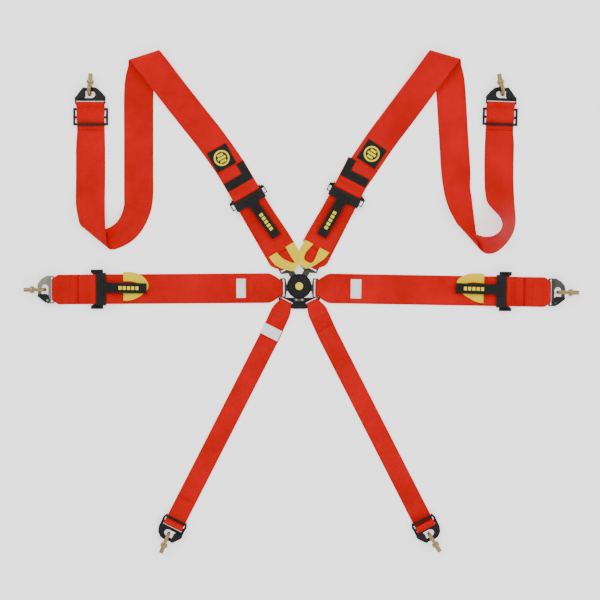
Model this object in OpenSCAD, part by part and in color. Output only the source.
// Six-point racing harness laid flat: rotary buckle, two shoulder arms, two lap arms, two leg straps.
// Millimetres. +Z up, +Y towards the shoulders, +X to the right lap strap. The buckle stands at the origin.

/* [Webbing] */
// Width of the shoulder and lap webbing
wide_w = 75; // [70:1:80]
// Width of the leg webbing
leg_w = 50; // [45:1:55]
// Thickness of all webbing
web_t = 1.6; // [1.2:0.1:2.5]
// Width of webbing where it is gathered at a tongue bar
gather_w = 40; // [34:1:42]
// Width of the leg webbing where it turns about the lower plate
leg_gather_w = 32; // [30:1:34]
// How far the leg webbing sits outwards of its own line at the lower plate
leg_shift = 3; // [2:0.5:3.5]
// Width of the yellow pull loop webbing
pull_band_w = 22; // [18:1:26]

/* [Buckle] */
// Radius of the buckle housing
housing_r = 31; // [30:0.5:34]
// Radius of the release knob
knob_r = 28; // [26:0.5:29]
// Top of the release knob above the table
knob_top = 29; // [27:0.5:32]
// Height of the tongue plates above the table
tongue_z = 9; // [8:0.5:10]
// Thickness of the tongue plates
tongue_t = 3; // [2.5:0.1:3]
// Distance of the lock pins from the centre
pin_ring_r = 22; // [21.5:0.1:22.2]
// Radius of a lock pin
pin_r = 2.5; // [2:0.1:2.6]
// Slot length added in a tongue so that it can start to move before its pin is clear
pin_slot = 4.4; // [4:0.1:5]

/* [Arm directions] */
// Left shoulder arm, degrees left of +Y
left_shoulder_deg = 30; // [28:0.5:32]
// Right shoulder arm, degrees right of +Y
right_shoulder_deg = 27; // [26:0.5:32]
// Right lap arm, degrees below +X
right_lap_deg = 1; // [0:0.5:2]
// Leg straps, degrees either side of -Y
leg_deg = 27; // [25:0.5:30]

/* [Adjusters] */
// Fixed bar of the left shoulder adjuster, distance from the buckle
left_shoulder_bar = 265; // [250:1:280]
// Fixed bar of the right shoulder adjuster, distance from the buckle
right_shoulder_bar = 267; // [250:1:280]
// Fixed bar of the left lap adjuster, distance from the buckle
left_lap_bar = 512; // [500:1:530]
// Fixed bar of the right lap adjuster, distance from the buckle
right_lap_bar = 522; // [500:1:530]
// Height of the adjuster bars above the table
bar_z = 14; // [13:0.5:16]
// Distance between the fixed bar and the slide bar
bar_gap = 18; // [17:0.5:20]
// Radius of the fixed bar
fixed_bar_r = 5; // [4:0.5:5]
// Radius of the slide bar
slide_bar_r = 4; // [3.5:0.5:4]
// Length of the release tab
tab_len = 104; // [90:1:110]
// Width of the release tab
tab_w = 26; // [22:1:30]

/* [Hooks and eye bolts] */
// Underside of the hook plates above the table
hook_z = 12; // [11:0.5:13]
// Thickness of the hook plates
hook_t = 3; // [2.5:0.5:3]
// Distance from the hook's webbing bar to the eye centre
eye_out = 32; // [31:0.5:33]
// Radius of the eye's centre line
eye_r = 13.5; // [13:0.5:15]
// Radius of the eye's round section
eye_wire_r = 4.5; // [4:0.1:4.6]
// Radius of the threaded shank, for a 7/16 inch thread
shank_r = 5.56; // [5:0.01:6]
// Length of the threaded shank
shank_len = 15; // [14:1:25]

/* [Hidden] */

t = web_t;
gap = 0.3;
tongue_mid = tongue_z + tongue_t / 2;
tongue_bar_r = 3;
tongue_loop = tongue_bar_r + gap + t / 2;
slide_loop = slide_bar_r + gap + t / 2;
fixed_loop = fixed_bar_r + gap + t / 2;
hook_mid = hook_z + hook_t / 2;
hook_bar_r = 3.5;
hook_loop = hook_bar_r + gap + t / 2;
eye_z = eye_r + eye_wire_r;
flat_z = 0.1 + t / 2;
second_z = flat_z + t + 0.15;
shoulder_tongue_out = 60;
lap_tongue_out = 45;
leg_bar_out = 47;
left_shoulder_at = [0, 0, 90 + left_shoulder_deg];
right_shoulder_at = [0, 0, 90 - right_shoulder_deg];
left_lap_at = [0, -4, 180.4];
right_lap_at = [0, -4, -right_lap_deg];
left_leg_at = [-10, 0, 270 - leg_deg];
right_leg_at = [10, 0, 270 + leg_deg];
left_lap_hook = 618;
right_lap_hook = 629;
leg_hook = 676;
shoulder_anchor_y = 461;
left_anchor_x = -524;
right_anchor_x = 506;
left_anchor_at = [left_anchor_x, shoulder_anchor_y, 90];
right_anchor_at = [right_anchor_x, shoulder_anchor_y, 88];
left_patch_at = [-195, 322.6, 119];
right_patch_at = [182.4, 332.9, 57];
left_shoulder_tail = 98;
right_shoulder_tail = 105;
left_lap_tail = 438;
right_lap_tail = 460;

// ---- placing: an arm frame has +X outwards along the arm and +Y to its left, seen from above ----
module at(frame) { translate([frame[0], frame[1], 0]) rotate([0, 0, frame[2]]) children(); }
module out(u) { translate([u, 0, 0]) children(); }
module across(r, half, u, z) { translate([u, half, z]) rotate([90, 0, 0]) cylinder(r = r, h = 2 * half); }

// ---- webbing seen from the side ----
// points on an arc about [u, z] from angle a to angle b
function arc(u, z, r, a, b, n) = [for (i = [0:n]) let (c = a + (b - a) * i / n) [u + r * cos(c), z + r * sin(c)]];
function unit(v) = v / norm(v);
function along(p, i) = unit(p[min(i + 1, len(p) - 1)] - p[max(i - 1, 0)]);
function side(p, i, s) = p[i] + s * [-along(p, i)[1], along(p, i)[0]];
function ribbon_outline(p, th) = concat([for (i = [0:len(p) - 1]) side(p, i, th / 2)],
    [for (i = [len(p) - 1:-1:0]) side(p, i, -th / 2)]);
module ribbon(p, w) {
    translate([0, w / 2, 0]) rotate([90, 0, 0]) linear_extrude(height = w) polygon(ribbon_outline(p, t));
}
// plan outline of a strap that narrows to w0 at its tongue
module plan(u0, w0, u1, w1, u2) {
    translate([0, 0, -5]) linear_extrude(height = 50)
        polygon([[u0 - 12, -w0 / 2], [u0 + 8, -w0 / 2], [u1, -w1 / 2], [u2, -w1 / 2],
            [u2, w1 / 2], [u1, w1 / 2], [u0 + 8, w0 / 2], [u0 - 12, w0 / 2]]);
}

// from the sewn end, round the tongue bar, out to the slide bar, round it, and back as the tail
function lower_path(tongue, sewn, slide, tail) = concat(
    [[sewn, second_z], [tongue + 34, second_z], [tongue + 24, 4.6], [tongue + 12, 10]],
    arc(tongue, tongue_mid, tongue_loop, 75, 285, 10),
    [[tongue + 14, 3.6], [tongue + 24, 1.4], [tongue + 34, flat_z], [slide - 52, flat_z], [slide - 40, 1.7],
        [slide - 18, 6.1]],
    arc(slide, bar_z, slide_loop, -80, 100, 9),
    [for (p = [[14, 16.2], [26, 11], [38, 5.8], [50, 3.4], [58, second_z + 0.1]])
        if (slide - p[0] > tail + 3) [slide - p[0], p[1]]],
    [[tail, slide - tail < 50 ? 4.8 : second_z + 0.1]]);

module lower_webbing(tongue, sewn, bar, tail) {
    intersection() {
        ribbon(lower_path(tongue, sewn, bar - bar_gap, tail), wide_w);
        plan(tongue, gather_w, tongue + 36, wide_w, bar);
    }
}

// ---- buckle ----
released = [left_shoulder_at, right_shoulder_at, right_lap_at];
screw_angles = [91, 31, 150, 222, 318];

module buckle_base() {
    color("dimgray") difference() {
        union() {
            cylinder(r = housing_r, h = tongue_z - 0.3);
            for (a = screw_angles) rotate([0, 0, a]) out(26.5) cylinder(r = 4, h = 12.3);
            // lug that carries the leg plate rivets
            translate([-13, -38, 0]) cube([26, 12, 16]);
            // fixed pin that keeps the left lap tongue in
            at(left_lap_at) out(pin_ring_r) cylinder(r = pin_r, h = 12.3);
        }
        translate([0, 0, 3]) cylinder(r = 6.3, h = 20);
        for (a = screw_angles) rotate([0, 0, a]) out(26.5) translate([0, 0, 2]) cylinder(r = 1.8, h = 20);
        // slot in the lug for the leg plate
        translate([-14, -39, 2.7]) cube([28, 11, 3.6]);
        for (x = [-7, 7]) translate([x, -33, 2]) cylinder(r = 2.3, h = 20);
    }
}

module buckle_cover() {
    color("black") difference() {
        translate([0, 0, 12.4]) cylinder(r = housing_r, h = 7.5);
        translate([0, 0, 14.6]) cylinder(r = 28.2, h = 10);
        cylinder(r = 6.3, h = 30);
        for (f = released) at(f) out(pin_ring_r) cylinder(r = pin_r + gap, h = 30);
        for (a = screw_angles) rotate([0, 0, a]) out(26.5) cylinder(r = 1.8, h = 30);
        translate([-14, -40, 10]) cube([28, 15, 8.5]);
    }
}

module buckle_screws() {
    color("silver") {
        for (a = screw_angles) rotate([0, 0, a]) out(26.5) {
            translate([0, 0, 2.2]) cylinder(r = 1.6, h = 12.6);
        }
        for (x = [-7, 7]) translate([x, -33, 0]) {
            translate([0, 0, 2.1]) cylinder(r = 2.1, h = 14);
            translate([0, 0, 16.1]) cylinder(r1 = 3.2, r2 = 1.6, h = 1.4);
        }
    }
}

module return_spring() {
    color("silver") for (i = [0:2]) translate([0, 0, 15.5 + 1.7 * i])
        rotate_extrude() translate([7.6, 0]) circle(r = 0.8);
}

module release_knob() {
    color("black") {
        difference() {
            translate([0, 0, 20.2]) cylinder(r = knob_r, h = knob_top - 20.2);
            translate([0, 0, 18]) cylinder(r = knob_r - 2.8, h = knob_top - 20);
            translate([0, 0, knob_top - 1.2]) cylinder(r = 12, h = 5);
            for (i = [1:19]) rotate([0, 0, 90 + i * 18]) out(knob_r + 1.6)
                translate([0, 0, 15]) cylinder(r = 2.8, h = 20);
            rotate([0, 0, 90]) out(knob_r) translate([0, 0, 26]) cylinder(r = 3.4, h = 10);
        }
        translate([0, 0, 3.4]) cylinder(r = 6, h = 24);
    }
}

module knob_badge() {
    color("gold") translate([0, 0, knob_top - 1.1]) difference() {
        cylinder(r = 9.6, h = 1.6);
        translate([0, 0, 1.1]) difference() {
            cylinder(r = 8, h = 2);
            cylinder(r = 4, h = 1.6, center = true);
        }
    }
}

module lock_pins() {
    color("silver") {
        difference() {
            translate([0, 0, 15]) cylinder(r = 24.6, h = 2);
            translate([0, 0, 14]) cylinder(r = 18.5, h = 5);
            for (a = screw_angles) rotate([0, 0, a]) out(26.5) translate([0, 0, 14]) cylinder(r = 2.6, h = 5);
        }
        for (f = released) at(f) out(pin_ring_r) translate([0, 0, 9.9]) cylinder(r = pin_r, h = 6);
    }
}

// plate with a nose in the buckle and a round bar that the webbing turns about
module tongue(out_u, slotted) {
    side_in = out_u - 11;
    neck = max(31.5, side_in - 7);
    difference() {
        translate([0, 0, tongue_z]) linear_extrude(height = tongue_t) polygon([[11.5, -5.5], [18, -8], [neck, -8],
            [side_in, -24.5], [out_u + 3, -24.5], [out_u + 3, 24.5], [side_in, 24.5], [neck, 8], [18, 8], [11.5, 5.5]]);
        translate([out_u - 8, -21, 0]) cube([30, 42, 30]);
        out(pin_ring_r) cylinder(r = pin_r + gap, h = 30);
        if (slotted) {
            out(pin_ring_r - pin_slot) cylinder(r = pin_r + gap, h = 30);
            translate([pin_ring_r - pin_slot, -pin_r - gap, 0]) cube([pin_slot, 2 * (pin_r + gap), 30]);
        }
    }
    across(tongue_bar_r, 21.5, out_u, tongue_mid);
}

module shoulder_tongue_left() { color("dimgray") at(left_shoulder_at) tongue(shoulder_tongue_out, true); }
module shoulder_tongue_right() { color("dimgray") at(right_shoulder_at) tongue(shoulder_tongue_out, true); }
module lap_tongue_left() { color("silver") at(left_lap_at) tongue(lap_tongue_out, false); }
module lap_tongue_right() { color("dimgray") at(right_lap_at) tongue(lap_tongue_out, true); }

// moves a leg's own parts outwards, away from the other leg
module leg_aside(f) { translate([0, f[0] < 0 ? -leg_shift : leg_shift, 0]) children(); }

// lower plate with one round bar each side for the leg straps
module crotch_plate() {
    color("black") difference() {
        union() {
            translate([0, 0, 3]) linear_extrude(height = 3) difference() {
                polygon([[-13, -29], [13, -29], [30, -28.5], [50, -27], [53, -31], [46, -44], [40, -47], [27, -53.5],
                    [15, -57], [-15, -57], [-27, -53.5], [-40, -47], [-46, -44], [-53, -31], [-50, -27],
                    [-30, -28.5]]);
            }
        }
        for (f = [left_leg_at, right_leg_at]) at(f) leg_aside(f)
            translate([leg_bar_out - 7, -leg_gather_w / 2 - 0.5, -5]) cube([36, leg_gather_w + 1, 30]);
        for (x = [-7, 7]) translate([x, -33, 0]) cylinder(r = 2.3, h = 20);
    }
    color("black") for (f = [left_leg_at, right_leg_at]) at(f) leg_aside(f)
        across(tongue_bar_r, leg_gather_w / 2 + 1.5, leg_bar_out, 7);
}

// ---- adjusters ----
module frame_side(bar, ear_len, open_ear) {
    lo = bar - bar_gap;
    difference() {
        translate([0, 41, 0]) rotate([90, 0, 0]) linear_extrude(height = 2)
            polygon([[lo - 11, 22.8], [lo - 11, 12], [lo - 5, 3.4], [lo + 5, 2.6], [bar - 3, 6], [bar + 3.5, 6.4],
                [bar + 7.5, 10], [bar + 7.5, 17], [bar + 4, 21], [bar - 4, 22.8]]);
        // curved slot that lets the frame tilt about its fixed bar
        translate([0, 42, 0]) rotate([90, 0, 0]) linear_extrude(height = 4)
            polygon(concat(arc(bar, bar_z, bar_gap - 2.8, 179, 203, 6), arc(bar, bar_z, bar_gap + 2.8, 203, 179, 6)));
        translate([lo, 42, bar_z]) rotate([90, 0, 0]) cylinder(r = 2.8, h = 4);
    }
    // ear beside the bars
    translate([lo - 2, 41, 8]) difference() {
        cube([ear_len, 8.5, 2.4]);
        if (open_ear) translate([2.6, -1, -1]) cube([ear_len - 9, 6.9, 5]);
    }
}

module adjuster_frame(bar, ear_len, open_ear) {
    lo = bar - bar_gap;
    color("black") {
        frame_side(bar, ear_len, open_ear);
        mirror([0, 1, 0]) frame_side(bar, ear_len, open_ear);
        translate([lo - 11, -39.5, 20.8]) cube([24.5, 79, 2]);
        across(fixed_bar_r, 39.5, bar, bar_z);
        across(3, 46.5, bar, bar_z);
    }
}

module slide_bar(bar) {
    lo = bar - bar_gap;
    color("silver") {
        across(slide_bar_r, 38.6, lo, bar_z);
        across(2.5, 40.8, lo, bar_z);
    }
}

// tab that hangs from the frame's front plate; its root is off to one side by shift and it is turned by skew
module release_tab(bar, shift, skew) {
    lo = bar - bar_gap;
    end = -6 - tab_len;
    color("black") translate([lo, shift, 0]) rotate([0, 0, skew]) intersection() {
        translate([0, 20, 0]) rotate([90, 0, 0]) linear_extrude(height = 40)
            polygon([[2, 22.9], [-12, 22.9], [-40, 15.5], [-70, 11], [end, 9.6],
                [end, 11.8], [-70, 13.2], [-40, 17.8], [-12, 25.1], [2, 25.1]]);
        translate([0, 0, -5]) linear_extrude(height = 60)
            polygon([[3, -18], [3, 18], [-8, 18], [-16, tab_w / 2], [end + 1.5, tab_w / 2], [end, tab_w / 2 - 1.5],
                [end, 1.5 - tab_w / 2], [end + 1.5, -tab_w / 2], [-16, -tab_w / 2], [-8, -18]]);
    }
}

// half-oval loop of narrow webbing on the tail end
module pull_loop(tail, profile, reach, half, shift) {
    inner = half - pull_band_w;
    color("gold") translate([0, shift, 0]) intersection() {
        ribbon(profile, 2 * half + 2);
        translate([tail, 0, -5]) linear_extrude(height = 60) difference() {
            union() {
                scale([reach / half, 1]) circle(r = half, $fn = 48);
                translate([0, -half]) square([5, 2 * half]);
            }
            scale([(reach - pull_band_w) / inner, 1]) circle(r = inner, $fn = 40);
            translate([0, -inner]) square([40, 2 * inner]);
            translate([5, -50]) square([100, 100]);
        }
    }
}
function lap_loop_profile(tail, rise) = [[tail + 6, 5.6 + rise], [tail - 6, 4.8 + rise], [tail - 22, 4],
    [tail - 66, 3.6]];
function shoulder_loop_profile(tail) = [[tail + 6, 5], [tail, 5.1], [tail - 12, 6.6], [tail - 26, 13.2],
    [tail - 36, 18], [tail - 46, 21.5], [tail - 66, 25]];

// ---- hooks ----
// plate outline: bar side at 0, hook arm on the +Y side, nose across the arm's line
module hook_outline(edge) {
    difference() {
        polygon([[-3.5, -edge], [12, -edge], [19, -31], [19, -24], [14, -19], [10.5, -13], [10.5, 6], [13.5, 11],
            [17, 12.8], [22, 12.8], [26, 9.8], [28, 5], [28, -13], [30, -15.5], [34, -15.5], [36.5, -12], [37.2, 2],
            [38, 8], [36, 17], [27.5, 27], [14, edge], [-3.5, edge]]);
        translate([12, -27]) circle(r = 2.2, $fn = 32);
    }
}

module hook(half, edge) {
    color("dimgray") {
        translate([0, 0, hook_z]) linear_extrude(height = hook_t) difference() {
            hook_outline(edge);
            translate([-8, -half - 0.5]) square([11.4, 2 * half + 1]);
        }
        across(hook_bar_r, half + 1.4, -3, hook_mid);
        // rivet that the latch turns on
        translate([12, -27, hook_z - 0.2]) cylinder(r = 2.2, h = hook_t + 0.2);
        translate([12, -27, hook_z + 1]) cylinder(r = 2, h = hook_t + 3);
        translate([12, -27, hook_z - 1]) cylinder(r = 3, h = 1);
        translate([12, -27, hook_z + hook_t + 3.6]) cylinder(r = 3, h = 1);
    }
}

// hook with two side arms and a cross bar that the leg strap passes under
module leg_hook_plate() {
    hook(leg_w / 2, 32);
    color("dimgray") translate([0, 0, hook_z]) linear_extrude(height = hook_t) {
        for (s = [-1, 1]) mirror([0, s > 0 ? 0 : 1])
            polygon([[-3.6, 25.5], [-3.6, 32], [-12, 33], [-24, 27.5], [-22, 25.5], [-12, 27]]);
        translate([-21, -27]) square([6, 54]);
    }
}

module latch() {
    color("black") translate([0, 0, hook_z + hook_t + 0.3]) linear_extrude(height = 3) difference() {
        polygon([[8, -31], [13, -33.5], [18, -32], [26, -26], [36, -18], [37.5, -14], [35, -11], [14, -10.6],
            [11.5, -13], [9, -20], [7, -26]]);
        translate([12, -27]) circle(r = 2.3, $fn = 32);
    }
}

// eye stands upright; its shank points outwards at eye height
module eye_bolt() {
    color("goldenrod") translate([0, 0, eye_z]) {
        rotate([90, 0, 0]) rotate_extrude() translate([eye_r, 0]) circle(r = eye_wire_r);
        rotate([0, 90, 0]) difference() {
            translate([0, 0, eye_r + 0.2]) cylinder(r1 = 7.5, r2 = 9.4, h = 3);
            rotate([0, 90, 0]) rotate_extrude() translate([eye_r, 0]) circle(r = eye_wire_r - 0.4);
        }
        rotate([0, 90, 0]) translate([0, 0, eye_r + 3.2]) cylinder(r = 9.4, h = 5);
        rotate([0, 90, 0]) translate([0, 0, eye_r + 8.2]) cylinder(r1 = 9.4, r2 = 7, h = 2.2);
        rotate([0, 90, 0]) translate([0, 0, eye_r + 10.4]) cylinder(r = shank_r, h = shank_len);
    }
}

// ---- left and right ----
module shoulder_lower_webbing_left() {
    color("red") at(left_shoulder_at)
        lower_webbing(shoulder_tongue_out, 95, left_shoulder_bar, left_shoulder_tail);
}
module shoulder_lower_webbing_right() {
    color("red") at(right_shoulder_at)
        lower_webbing(shoulder_tongue_out, 100, right_shoulder_bar, right_shoulder_tail);
}
module lap_webbing_left() {
    color("red") at(left_lap_at) lower_webbing(lap_tongue_out, 134, left_lap_bar, left_lap_tail);
}
module lap_webbing_right() {
    color("red") at(right_lap_at) lower_webbing(lap_tongue_out, 129, right_lap_bar, right_lap_tail);
}

// from the top end, round the fixed bar, out to the hook bar, round it and back to the top end
function anchor_path(bar, hook, meet) = concat(
    [[meet, second_z], [bar + 33, second_z], [bar + 22, 5.6], [bar + 10, 15]],
    arc(bar, bar_z, fixed_loop, 50, 310, 10),
    [[bar + 12, 5], [bar + 20, 1.9], [bar + 27, flat_z], [hook - 36, flat_z], [hook - 24, 2], [hook - 12, 6.6]],
    arc(hook - 3, hook_mid, hook_loop, -65, 122, 9),
    [[hook - 10, 14.2], [hook - 22, 6.5], [hook - 32, 3.3], [hook - 38, second_z], [meet + 3, second_z]]);

module anchor_webbing(bar, hook) {
    intersection() {
        ribbon(anchor_path(bar, hook, bar + 42), wide_w);
        translate([0, 0, -5]) linear_extrude(height = 50) polygon([[bar - 12, -wide_w / 2], [hook - 14, -wide_w / 2],
            [hook + 4, -26], [hook + 4, 26], [hook - 14, wide_w / 2], [bar - 12, wide_w / 2]]);
    }
}
module lap_anchor_webbing_left() { color("red") at(left_lap_at) anchor_webbing(left_lap_bar, left_lap_hook); }
module lap_anchor_webbing_right() { color("red") at(right_lap_at) anchor_webbing(right_lap_bar, right_lap_hook); }

leg_start = concat([[147, second_z], [78, second_z], [66, 4.3], [56, 8.5]],
    arc(leg_bar_out, 7, tongue_loop, 75, 285, 10), [[60, 1.5], [72, flat_z]]);
left_leg_end = concat([[leg_hook - 84, flat_z], [leg_hook - 66, second_z], [leg_hook - 40, second_z],
    [leg_hook - 28, 4.8], [leg_hook - 16, 9.6], [leg_hook - 10.5, 14.2]],
    arc(leg_hook - 3, hook_mid, hook_loop, 125, -66, 9),
    [[leg_hook - 10, 6.4], [leg_hook - 18, 3.6], [leg_hook - 30, flat_z], [leg_hook - 60, flat_z]]);
right_leg_end = concat([[leg_hook - 40, flat_z], [leg_hook - 26, 1.8], [leg_hook - 13, 5.6]],
    arc(leg_hook - 3, hook_mid, hook_loop, -75, 95, 7), [[leg_hook - 7, 18.2]],
    arc(leg_hook - 9.2, 19.15, 0.98, 265, 95, 4),
    [[leg_hook - 3, 20.1], [leg_hook + 1.5, 19], [leg_hook + 3.6, 17], [leg_hook + 5.6, 16.2]]);
module leg_webbing(end, aside) {
    h = leg_w / 2;
    g = leg_gather_w / 2;
    color("red") intersection() {
        ribbon(concat(leg_start, end), leg_w + 2 * leg_shift);
        translate([0, 0, -5]) linear_extrude(height = 50) polygon([[leg_bar_out - 12, aside - g],
            [leg_bar_out + 8, aside - g], [76, aside * 0.9 - h], [118, aside * 0.4 - h], [250, -h], [leg_hook + 20, -h],
            [leg_hook + 20, h], [250, h], [118, aside * 0.4 + h], [76, aside * 0.9 + h], [leg_bar_out + 8, aside + g],
            [leg_bar_out - 12, aside + g]]);
    }
}
module leg_webbing_left() { at(left_leg_at) leg_webbing(left_leg_end, -leg_shift); }
module leg_webbing_right() { at(right_leg_at) leg_webbing(right_leg_end, leg_shift); }

// ---- shoulder straps above the adjusters: a ribbon through pairs of edge points ----
function place(f, u, v, z) = [f[0] + u * cos(f[2]) - v * sin(f[2]), f[1] + u * sin(f[2]) + v * cos(f[2]), z];
function in_arm(f, path, half) = [for (p = path) [place(f, p[0], half, p[1]), place(f, p[0], -half, p[1])]];
// a pair about a centre, its left-to-right direction turned by deg
function pair(x, y, z, deg, half) = [[x - half * cos(deg), y - half * sin(deg), z],
    [x + half * cos(deg), y + half * sin(deg), z]];
function mid(p) = (p[0] + p[1]) / 2;
function blend(a, b, c, d, k) = 0.5 * (2 * b + (c - a) * k + (2 * a - 5 * b + 4 * c - d) * k * k
    + (3 * b - a - 3 * c + d) * k * k * k);
// adds steps - 1 pairs between each two of the pairs from first to last
function smooth(p, steps) = [for (i = [0:len(p) - 2]) for (k = [0:steps - 1])
    [for (e = [0, 1]) blend(p[max(i - 1, 0)][e], p[i][e], p[i + 1][e], p[min(i + 2, len(p) - 1)][e], k / steps)]];
function lift(p, i) = let (a = mid(p[min(i + 1, len(p) - 1)]) - mid(p[max(i - 1, 0)]),
    n = cross(p[i][1] - p[i][0], a)) unit(n) * t / 2;
module strap(p) {
    n = len(p);
    pts = [for (i = [0:n - 1]) let (k = lift(p, i)) each [p[i][0] + k, p[i][1] + k, p[i][1] - k, p[i][0] - k]];
    faces = concat([[0, 1, 2], [0, 2, 3]],
        [for (i = [0:n - 2]) for (j = [0:3]) let (a = 4 * i + j, b = 4 * i + (j + 1) % 4) each
            [[a, a + 4, b + 4], [a, b + 4, b]]],
        [[4 * n - 4, 4 * n - 2, 4 * n - 3], [4 * n - 4, 4 * n - 1, 4 * n - 2]]);
    polyhedron(points = pts, faces = faces);
}

function shoulder_start(bar) = concat([[bar + 80, second_z], [bar + 28, second_z], [bar + 21, 4.6], [bar + 10, 14.6]],
    arc(bar, bar_z, fixed_loop, 54, 310, 10), [[bar + 12, 5], [bar + 20, 1.7], [bar + 26, flat_z]]);
// under the slide's end bar, over its middle bar, under the far bar, round the hook bar, and back on top
shoulder_end = concat([[-70, flat_z], [-52, flat_z], [-48.5, 1.5], [-42.5, 6.6], [-39, 8.2], [-34, 8.2], [-31, 7.2],
        [-25, 3], [-21, 1.3], [-17, flat_z], [-12.5, 1.3], [-7.5, 5.6]],
    arc(-3, hook_mid, hook_loop, -60, 125, 9),
    [[-11, 13.3], [-14.5, 9.9], [-19, 8.2], [-27, 8.2], [-31, 9.3], [-34, 10], [-39, 10], [-42.5, 8.9], [-47, 5.4],
        [-50, 3.3], [-52, 2.85], [-57, second_z], [-68, second_z]]);

left_run = [
    pair(-150.5, 261, flat_z, 30, 37.5), pair(-178, 306, flat_z, 32, 37.5),
    pair(-222, 368, flat_z, 36, 37.5), pair(-260, 416, 1.4, 37, 37.5), pair(-298, 464, 7, 35, 37.5),
    pair(-334, 510, 15.5, 31, 37.5), pair(-362, 547, 22, 24, 38.5), pair(-376, 564, 24.6, 19, 39.5),
    pair(-380, 570, 24.9, 18, 39.6), pair(-386, 577, 21.4, 18, 39.6), pair(-390, 579.5, 12.9, 18, 39.6),
    pair(-392, 575, 4.4, 18, 39.6), pair(-393, 566, flat_z, 18, 39.6), pair(-398, 545, flat_z, 13, 38.5),
    pair(-402, 515, flat_z, 5, 37.5), pair(-404, 470, flat_z, 0, 37.2), pair(-404, 380, flat_z, 0, 37),
    pair(-404, 290, flat_z, 0, 37), pair(-404, 230, 1.4, 1, 37),
    [[-440, 202, 8], [-372, 192, 1.2]], [[-445, 179, 18], [-381, 167, 1]], [[-455, 160, 26], [-396, 139, 1]],
    [[-473, 147, 24], [-419, 114, 1]], [[-497, 141, 14], [-446, 99, 1]], [[-520, 144, 5], [-464, 92, 1]],
    [[-532, 148, 1.2], [-466, 93, 1]], [[-541, 147, 4], [-474, 90, 3.6]], [[-547, 147.5, 11], [-479, 93, 11]],
    [[-550, 154, 18.2], [-481, 99, 18]], [[-552, 166, 20.9], [-482, 112, 20.5]], [[-556, 184, 19.6], [-485, 148, 18]],
    [[-560, 206, 14], [-487, 190, 12]], [[-561.5, 236, 6], [-488, 232, 5]], [[-562, 272, 1.3], [-488, 272, 1.2]],
    pair(-525, 310, flat_z, 0, 37), pair(-525, 350, flat_z, 0, 37)];

right_run = [
    pair(137.5, 268, flat_z, -28, 37.5), pair(164, 306, flat_z, -30, 37.5),
    pair(206, 368, flat_z, -33, 37.5), pair(245, 420, 1.4, -35, 37.5), pair(285, 473, 7, -34, 37.5),
    pair(321, 521, 16, -29, 37.5), pair(346, 555, 22.5, -21, 38.5), pair(355, 567, 24.6, -17, 39.5),
    pair(358, 571, 24.9, -16, 39.6), pair(363, 578, 21.4, -16, 39.6), pair(367, 580.5, 12.9, -16, 39.6),
    pair(369, 576, 4.4, -16, 39.6), pair(370, 567, flat_z, -16, 39.6), pair(375, 545, flat_z, -10, 38.5),
    pair(380, 512, flat_z, -2, 37.5), pair(383, 470, flat_z, 3, 37.2), pair(389, 370, flat_z, 3.6, 37),
    pair(394, 290, 1.6, 3.6, 37), [[362, 245, 7], [430, 249, 4]], [[367, 218, 13], [434, 216, 9]],
    [[376, 190, 19], [438, 172, 16]], [[386, 170, 22.5], [443, 130, 21.5]], [[393, 159, 20.5], [447, 106, 20.5]],
    [[397, 153.5, 11.5], [450, 96, 11]], [[406, 150, 6], [458, 88, 2.6]], [[421, 140, 14], [468, 82, 1]],
    [[440, 128, 38], [481, 81, 1]], [[462, 120, 58], [500, 87, 1]], [[483, 125, 67], [522, 108, 1]],
    [[497, 138, 69], [538, 132, 1]], [[501, 154, 67], [545, 158, 1]], [[495, 172, 58], [544, 183, 1]],
    [[481, 190, 42], [542, 206, 1]], [[470, 208, 24], [541, 228, 1]], [[467, 232, 9], [540, 250, 1]],
    [[466, 268, 1.8], [539.5, 276, 1]], pair(503, 320, flat_z, 0, 37), pair(504, 360, flat_z, -1, 37)];

module shoulder_upper_webbing_left() {
    color("red") strap(concat(in_arm(left_shoulder_at, shoulder_start(left_shoulder_bar), 37.5), smooth(left_run, 3),
        in_arm(left_anchor_at, shoulder_end, 35)));
}
module shoulder_upper_webbing_right() {
    color("red") strap(concat(in_arm(right_shoulder_at, shoulder_start(right_shoulder_bar), 37.5),
        smooth(right_run, 3), in_arm(right_anchor_at, shoulder_end, 35)));
}

// ---- sewn-on patch and L-shaped band, which has its long arm on the inner side ----
module patch(patch_at, arm_at, bar, inner) {
    color("black") {
        at(patch_at) translate([-28, -27, flat_z + t / 2 + 0.2]) cube([56, 54, 1.2]);
        at(arm_at) translate([bar + 29, 0, second_z + t / 2 + 0.2]) {
            translate([0, -36, 0]) cube([23, 72, 1.2]);
            translate([0, inner > 0 ? 16 : -36, 0]) cube([50, 20, 1.2]);
        }
    }
}
module shoulder_patch_left() { patch(left_patch_at, left_shoulder_at, left_shoulder_bar, -1); }
module shoulder_patch_right() { patch(right_patch_at, right_shoulder_at, right_shoulder_bar, 1); }

// three bars side by side, the outer two joined by end plates
module slide_plate() {
    color("black") translate([0, 0, 4.1]) difference() {
        translate([-57, -44, 0]) cube([44, 88, 2.8]);
        translate([-51, -38.5, -1]) cube([11.5, 77, 5]);
        translate([-33.5, -38.5, -1]) cube([14.5, 77, 5]);
    }
}
module three_bar_slide_left() { at(left_anchor_at) slide_plate(); }
module three_bar_slide_right() { at(right_anchor_at) slide_plate(); }

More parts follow.
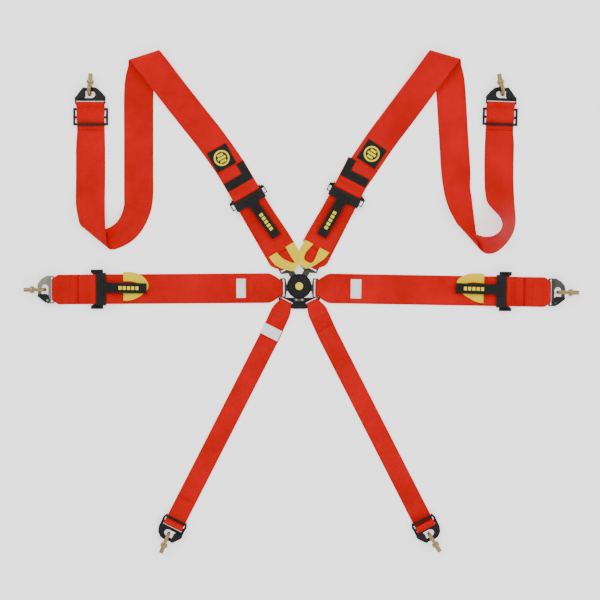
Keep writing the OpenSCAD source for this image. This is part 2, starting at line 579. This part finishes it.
module adjuster_frame_shoulder_left() { at(left_shoulder_at) adjuster_frame(left_shoulder_bar, 21, true); }
module adjuster_frame_shoulder_right() { at(right_shoulder_at) adjuster_frame(right_shoulder_bar, 21, true); }
module adjuster_frame_lap_left() { at(left_lap_at) adjuster_frame(left_lap_bar, 31, false); }
module adjuster_frame_lap_right() { at(right_lap_at) adjuster_frame(right_lap_bar, 31, false); }
module slide_bar_shoulder_left() { at(left_shoulder_at) slide_bar(left_shoulder_bar); }
module slide_bar_shoulder_right() { at(right_shoulder_at) slide_bar(right_shoulder_bar); }
module slide_bar_lap_left() { at(left_lap_at) slide_bar(left_lap_bar); }
module slide_bar_lap_right() { at(right_lap_at) slide_bar(right_lap_bar); }
module release_tab_shoulder_left() { at(left_shoulder_at) release_tab(left_shoulder_bar, -2.6, 5.5); }
module release_tab_shoulder_right() { at(right_shoulder_at) release_tab(right_shoulder_bar, 2.5, -2.5); }
module release_tab_lap_left() { at(left_lap_at) release_tab(left_lap_bar, -4, -1.5); }
module release_tab_lap_right() { at(right_lap_at) release_tab(right_lap_bar, 4, -1); }
module pull_loop_shoulder_left() { at(left_shoulder_at) 
    pull_loop(left_shoulder_tail, shoulder_loop_profile(left_shoulder_tail), 57, 36, -7); }
module pull_loop_shoulder_right() { at(right_shoulder_at) 
    pull_loop(right_shoulder_tail, shoulder_loop_profile(right_shoulder_tail), 57, 35, 6); }
module pull_loop_lap_left() { at(left_lap_at) 
    pull_loop(left_lap_tail, lap_loop_profile(left_lap_tail, 0), 60, 35, -6); }
module pull_loop_lap_right() { at(right_lap_at) 
    pull_loop(right_lap_tail, lap_loop_profile(right_lap_tail, 2.4), 62, 36, 6); }

// left-hand hooks are mirrored so that both hook arms face the buckle side
module on_hook(frame, u, flip) { at(frame) out(u) mirror([0, flip ? 1 : 0, 0]) children(); }
module eye(frame, u, turn) { at(frame) out(u + eye_out) rotate([0, 0, turn]) eye_bolt(); }
module hook_shoulder_left() { on_hook(left_anchor_at, 0, true) hook(35, 38.5); }
module hook_shoulder_right() { on_hook(right_anchor_at, 0, false) hook(35, 38.5); }
module hook_lap_left() { on_hook(left_lap_at, left_lap_hook, true) hook(31, 35); }
module hook_lap_right() { on_hook(right_lap_at, right_lap_hook, false) hook(31, 35); }
module hook_leg_left() { on_hook(left_leg_at, leg_hook, true) leg_hook_plate(); }
module hook_leg_right() { on_hook(right_leg_at, leg_hook, false) leg_hook_plate(); }
module hook_latch_shoulder_left() { on_hook(left_anchor_at, 0, true) latch(); }
module hook_latch_shoulder_right() { on_hook(right_anchor_at, 0, false) latch(); }
module hook_latch_lap_left() { on_hook(left_lap_at, left_lap_hook, true) latch(); }
module hook_latch_lap_right() { on_hook(right_lap_at, right_lap_hook, false) latch(); }
module hook_latch_leg_left() { on_hook(left_leg_at, leg_hook, true) latch(); }
module hook_latch_leg_right() { on_hook(right_leg_at, leg_hook, false) latch(); }
module eye_bolt_shoulder_left() { eye(left_anchor_at, 0, -3); }
module eye_bolt_shoulder_right() { eye(right_anchor_at, 0, 12); }
module eye_bolt_lap_left() { eye(left_lap_at, left_lap_hook, 0); }
module eye_bolt_lap_right() { eye(right_lap_at, right_lap_hook, 0); }
module eye_bolt_leg_left() { eye(left_leg_at, leg_hook, 5); }
module eye_bolt_leg_right() { eye(right_leg_at, leg_hook, 5); }

buckle_base();
buckle_cover();
crotch_plate();
buckle_screws();
return_spring();
release_knob();
knob_badge();
lock_pins();
shoulder_tongue_left();
shoulder_tongue_right();
lap_tongue_left();
lap_tongue_right();
shoulder_lower_webbing_left();
shoulder_lower_webbing_right();
shoulder_upper_webbing_left();
shoulder_upper_webbing_right();
shoulder_patch_left();
shoulder_patch_right();
lap_webbing_left();
lap_webbing_right();
lap_anchor_webbing_left();
lap_anchor_webbing_right();
leg_webbing_left();
leg_webbing_right();
adjuster_frame_shoulder_left();
adjuster_frame_shoulder_right();
adjuster_frame_lap_left();
adjuster_frame_lap_right();
slide_bar_shoulder_left();
slide_bar_shoulder_right();
slide_bar_lap_left();
slide_bar_lap_right();
release_tab_shoulder_left();
release_tab_shoulder_right();
release_tab_lap_left();
release_tab_lap_right();
pull_loop_shoulder_left();
pull_loop_shoulder_right();
pull_loop_lap_left();
pull_loop_lap_right();
three_bar_slide_left();
three_bar_slide_right();
hook_shoulder_left();
hook_shoulder_right();
hook_lap_left();
hook_lap_right();
hook_leg_left();
hook_leg_right();
hook_latch_shoulder_left();
hook_latch_shoulder_right();
hook_latch_lap_left();
hook_latch_lap_right();
hook_latch_leg_left();
hook_latch_leg_right();
eye_bolt_shoulder_left();
eye_bolt_shoulder_right();
eye_bolt_lap_left();
eye_bolt_lap_right();
eye_bolt_leg_left();
eye_bolt_leg_right();
